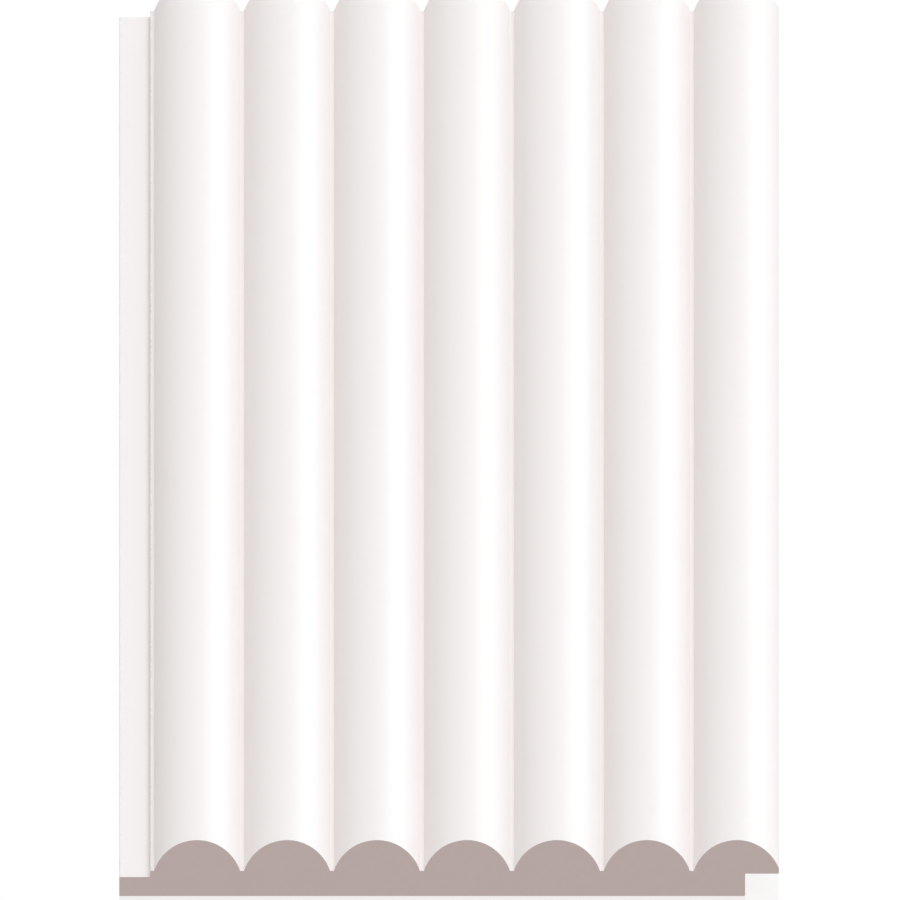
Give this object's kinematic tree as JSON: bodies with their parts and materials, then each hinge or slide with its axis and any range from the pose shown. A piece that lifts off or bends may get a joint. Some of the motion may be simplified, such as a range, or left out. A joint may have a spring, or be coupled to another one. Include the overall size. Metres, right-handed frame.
{
  "type": "reeded wall panel",
  "caption": "Long primed board with half-round reeds along its face, a tongue along one edge and a lip over a rebate along the other, for lining walls.",
  "frame": {"origin": "bottom centre of the bounding box, in the plane of the back face", "axes": "+X across the reeds from the tongue to the lip, +Y along the reeds, +Z out of the reeded face"},
  "size_m": [0.1864, 2.4384, 0.0159],
  "materials": {
    "primed_board": "matte white primer on fibreboard"
  },
  "bodies": {
    "root": {"reeded_panel": "primed_board"}
  },
  "joints": []
}
